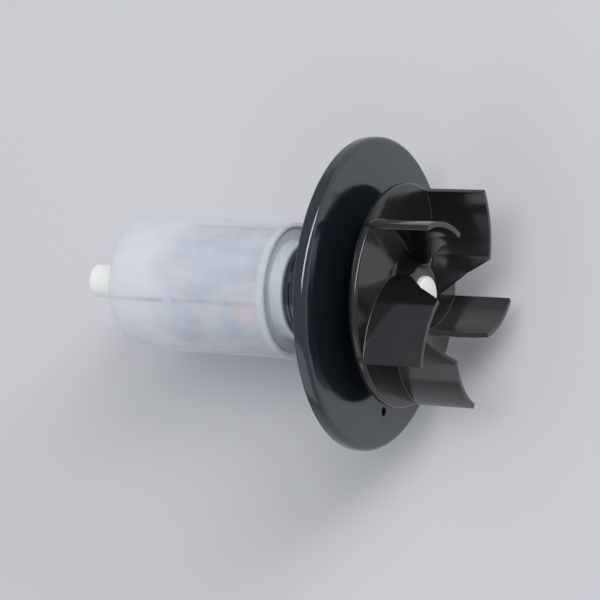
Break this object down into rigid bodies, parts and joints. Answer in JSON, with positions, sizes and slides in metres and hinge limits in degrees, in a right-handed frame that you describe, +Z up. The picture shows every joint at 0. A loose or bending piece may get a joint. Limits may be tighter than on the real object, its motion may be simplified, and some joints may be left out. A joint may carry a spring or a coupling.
{
  "type": "pump rotor and impeller unit",
  "caption": "Running unit of a wet-rotor pump: sealed magnet rotor on a ceramic shaft, bearing plate and open bladed impeller.",
  "frame": {"origin": "where the shaft line meets the bearing plate's rear seat", "axes": "+X along the shaft towards the impeller, +Y and +Z across it, +Z up as the unit lies"},
  "size_m": [0.0746, 0.054, 0.054],
  "materials": {
    "black_plate": "glossy moulded",
    "black_impeller": "semi-gloss moulded",
    "clear_shell": "frosted translucent",
    "pale_cap": "frosted",
    "white_plastic": "matt moulded",
    "ceramic": "ground ivory ceramic",
    "magnet": "plated, rust-stained",
    "steel": "rust-stained",
    "rubber": "matt",
    "washer": "smooth"
  },
  "bodies": {
    "plate": {"bearing_plate": "black_plate", "plate_bush": "ceramic", "bush_ring_front": "rubber", "bush_ring_rear": "rubber"},
    "washer": {"loose_washer": "washer"},
    "rotor": {"shaft": "ceramic", "rotor_shell": "clear_shell", "rotor_cap": "pale_cap", "thrust_ring": "ceramic", "rotor_core": "white_plastic", "back_iron": "steel", "magnet_1": "magnet", "magnet_2": "magnet", "magnet_3": "magnet", "magnet_4": "magnet", "rear_spacer": "white_plastic", "front_washer": "washer", "impeller": "black_impeller"}
  },
  "joints": [
    {"name": "end_float", "type": "slide", "parent": "plate", "child": "washer", "axis": [1, 0, 0], "range_m": [-0.0006, 0]},
    {"name": "rotor_spin", "type": "hinge", "parent": "washer", "child": "rotor", "pos_m": [0, 0, 0], "axis": [1, 0, 0], "continuous": true}
  ]
}
